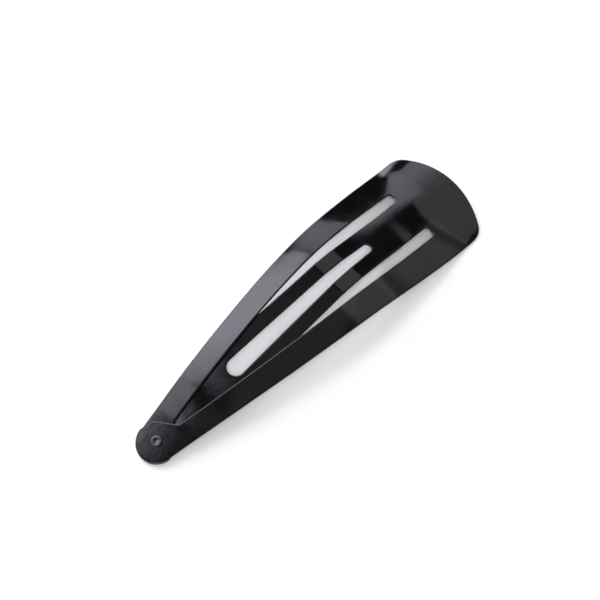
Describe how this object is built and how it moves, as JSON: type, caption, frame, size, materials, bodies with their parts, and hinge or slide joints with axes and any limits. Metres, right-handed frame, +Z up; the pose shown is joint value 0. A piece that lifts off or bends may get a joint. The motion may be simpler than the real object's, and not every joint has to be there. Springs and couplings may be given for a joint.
{
  "type": "snap hair clip",
  "caption": "Bowed spring-steel snap hair clip: a head plate, two arms joined by an eyelet at the tip, and a slotted tongue that grips the hair under the arms.",
  "frame": {"origin": "on the surface the clip lies on, under the middle of its length and width", "axes": "+X along the clip from the eyelet to the head plate, +Z up through the bowed upper face, +Y towards the arm that lies underneath at the eyelet"},
  "size_m": [0.08, 0.0232, 0.0065],
  "materials": {
    "black_lacquer": "gloss black baked lacquer on spring steel",
    "eyelet_finish": "black-coated eyelet, satin, worn brighter on its rolled rim"
  },
  "bodies": {
    "head": {"head_plate": "black_lacquer"},
    "arms_rear": {"left_arm_rear": "black_lacquer", "right_arm_rear": "black_lacquer"},
    "arms_front": {"left_arm_front": "black_lacquer", "right_arm_front": "black_lacquer", "eyelet": "eyelet_finish"},
    "tongue": {"tongue": "black_lacquer"}
  },
  "joints": [
    {"name": "arms_rear_flex", "type": "hinge", "parent": "head", "child": "arms_rear", "pos_m": [0.018, 0, 0.0042], "axis": [0, 1, 0], "range_deg": [0, 12]},
    {"name": "arms_front_flex", "type": "hinge", "parent": "arms_rear", "child": "arms_front", "pos_m": [-0.007, 0, 0.0052], "axis": [0, 1, 0], "range_deg": [0, 12]},
    {"name": "tongue_flex", "type": "hinge", "parent": "head", "child": "tongue", "pos_m": [0.025, 0, 0.0034], "axis": [0, -1, 0], "range_deg": [0, 3], "stiffness_Nm_per_rad": 0.05, "springref_deg": -2.86}
  ],
  "couplings": [
    {"joint": "arms_front_flex", "follows": "arms_rear_flex", "ratio": 1}
  ]
}
